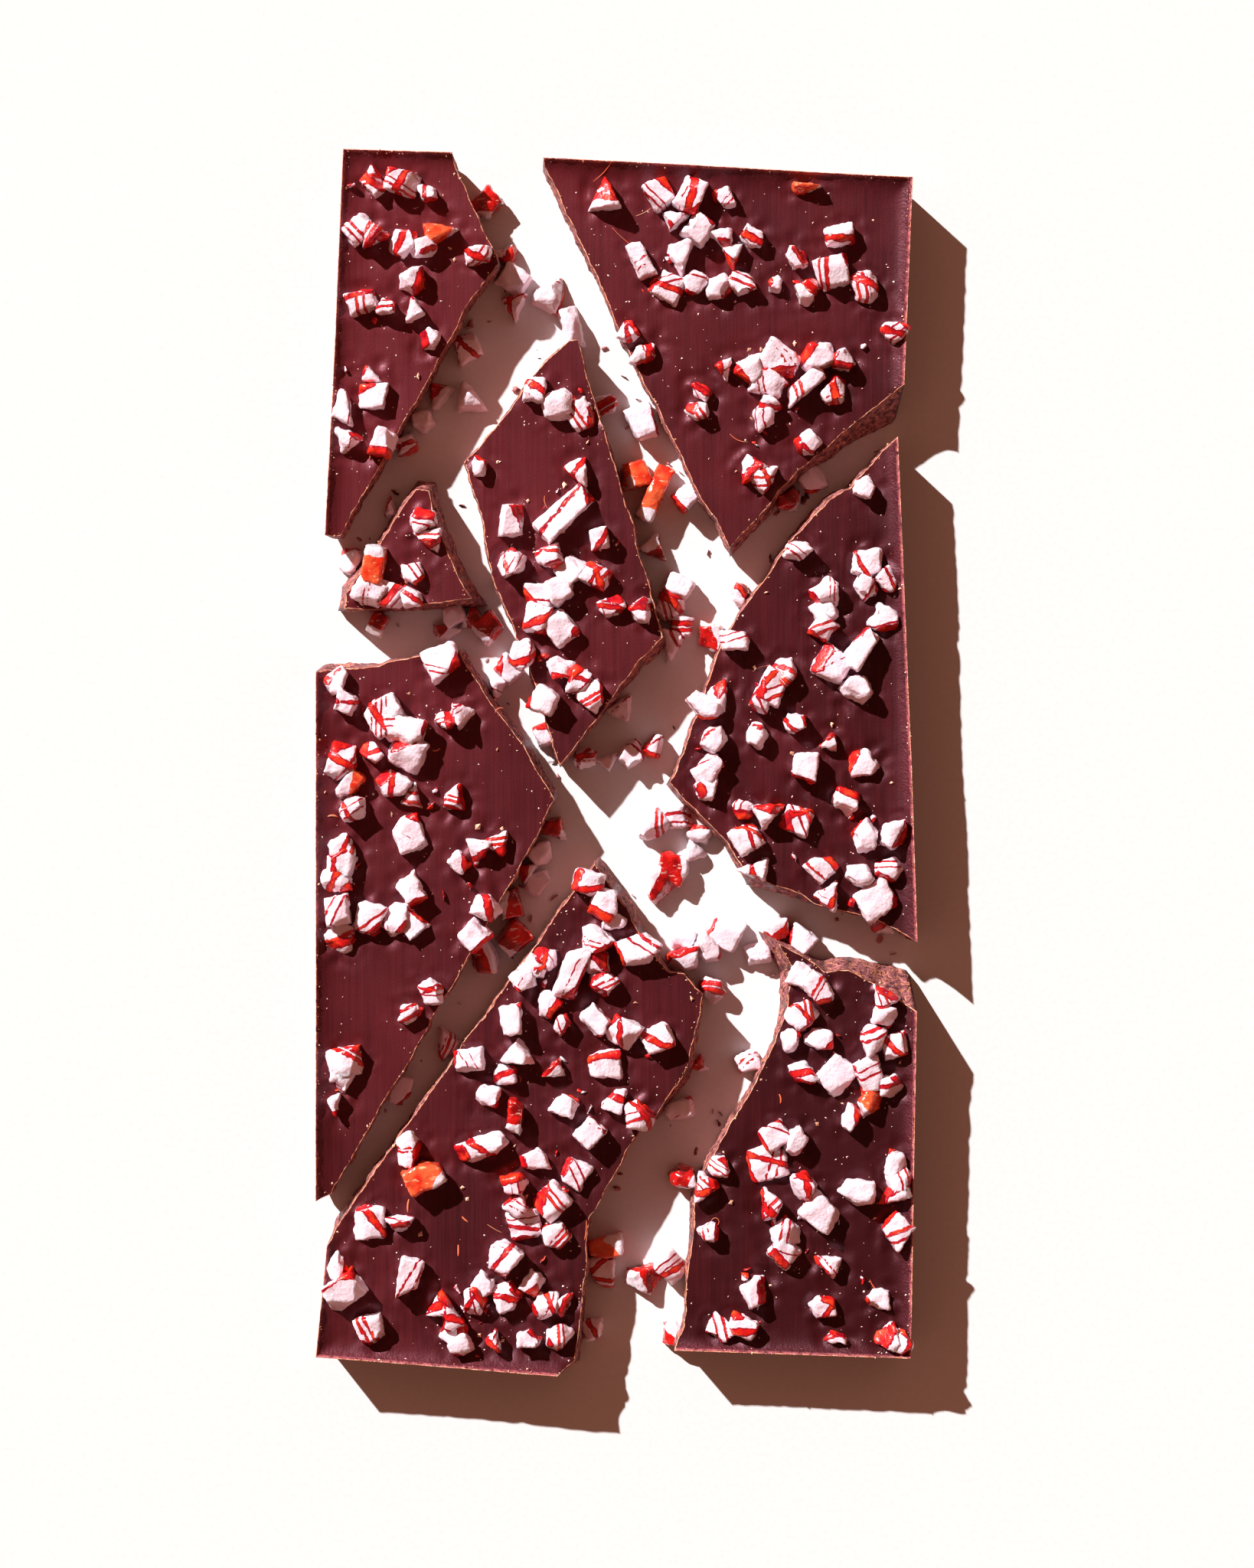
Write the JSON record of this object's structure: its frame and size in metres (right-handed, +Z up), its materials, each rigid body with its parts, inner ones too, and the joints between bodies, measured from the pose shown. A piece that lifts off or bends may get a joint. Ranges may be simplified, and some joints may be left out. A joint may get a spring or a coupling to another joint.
{
  "type": "peppermint bark",
  "caption": "Slab of dark chocolate peppermint bark broken into shards, its top strewn with crushed striped peppermint candy.",
  "frame": {"origin": "centre of the bounding box's underside, at the height of the table the shards lie on", "axes": "+Y along the slab, towards the top of the picture; +X to the right of the picture; +Z up out of the chocolate's top face"},
  "size_m": [0.0923, 0.1882, 0.011],
  "materials": {
    "chocolate": null,
    "white_candy": "opaque white hard candy with thin red stripes, fused to the shards and shown by the visual model",
    "red_candy": "clear red hard candy, fused to the shards and shown by the visual model",
    "amber_candy": "clear orange-red hard candy, fused to the shards and shown by the visual model"
  },
  "bodies": {
    "root": {"shard_top_left": "chocolate", "shard_top_right": "chocolate", "shard_small_left": "chocolate", "shard_middle": "chocolate", "shard_left": "chocolate", "shard_right": "chocolate", "shard_bottom_left": "chocolate", "shard_bottom_right": "chocolate"}
  },
  "joints": []
}
